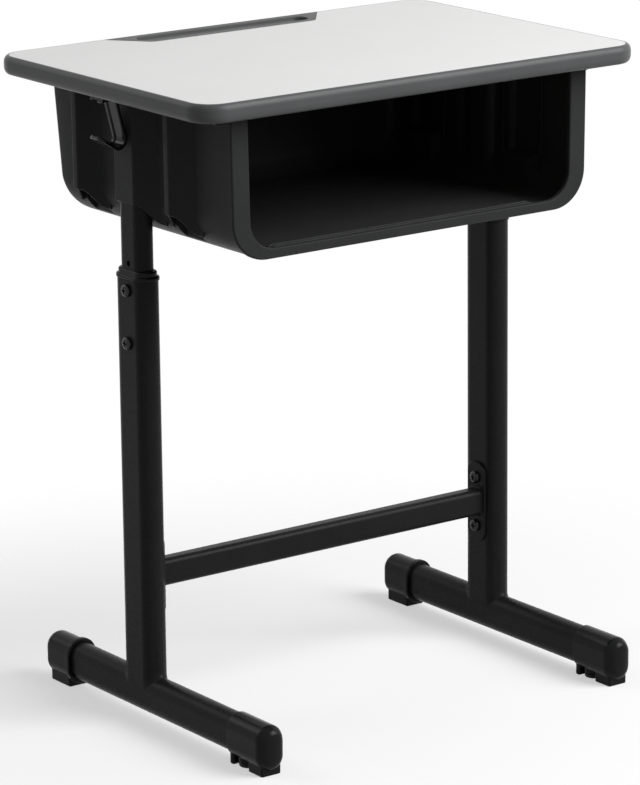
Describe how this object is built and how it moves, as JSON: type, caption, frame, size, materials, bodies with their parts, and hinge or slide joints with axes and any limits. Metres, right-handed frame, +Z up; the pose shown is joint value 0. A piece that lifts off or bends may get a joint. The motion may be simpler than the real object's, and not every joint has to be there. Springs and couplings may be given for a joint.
{
  "type": "student desk",
  "caption": "Student desk: light laminate top with moulded edge and pencil tray over an open-front book box with bag hooks, on height-adjustable T-foot legs with a cross bar.",
  "frame": {"origin": "on the floor under the middle of the desk's bounding box", "axes": "+Z up, -Y towards the person sitting at the desk, +X to that person's right"},
  "size_m": [0.6, 0.4524, 0.74],
  "materials": {
    "core_board": "raw particle board",
    "laminate": "satin",
    "edge": "satin",
    "tray": "satin",
    "moulded_box": "fine grain",
    "screws": "zinc plated",
    "bolts": "black zinc",
    "coated_steel": "fine textured powder coat",
    "hook": "semi gloss",
    "foot_plastic": "satin",
    "glide": "satin"
  },
  "bodies": {
    "lower_frame": {"lower_tube_left": "coated_steel", "lower_tube_right": "coated_steel", "collar_left": "foot_plastic", "collar_right": "foot_plastic", "height_bolts": "bolts", "cross_bar": "coated_steel", "bar_plate_left": "coated_steel", "bar_plate_right": "coated_steel", "bar_bolts": "bolts", "foot_tube_left": "coated_steel", "foot_tube_right": "coated_steel", "front_cap_left": "foot_plastic", "front_cap_right": "foot_plastic", "rear_cap_left": "foot_plastic", "rear_cap_right": "foot_plastic"},
    "upper_desk": {"desktop_core": "core_board", "desktop_laminate": "laminate", "edge_band": "edge", "pencil_tray": "tray", "book_box": "moulded_box", "box_screws": "screws", "hook_screws": "screws", "plate_screws": "screws", "bag_hook_left": "hook", "bag_hook_right": "hook", "top_plate_left": "coated_steel", "top_plate_right": "coated_steel", "upper_tube_left": "coated_steel", "upper_tube_right": "coated_steel", "tube_shoe_left": "foot_plastic", "tube_shoe_right": "foot_plastic"},
    "left_glide": {"glide_left": "glide"},
    "right_glide": {"glide_right": "glide"}
  },
  "joints": [
    {"name": "height_adjust", "type": "slide", "parent": "lower_frame", "child": "upper_desk", "axis": [0, 0, 1], "range_m": [-0.03, 0.06]},
    {"name": "left_glide_level", "type": "slide", "parent": "lower_frame", "child": "left_glide", "axis": [0, 0, -1], "range_m": [-0.0007, 0.008]},
    {"name": "right_glide_level", "type": "slide", "parent": "lower_frame", "child": "right_glide", "axis": [0, 0, -1], "range_m": [-0.0007, 0.008]}
  ]
}
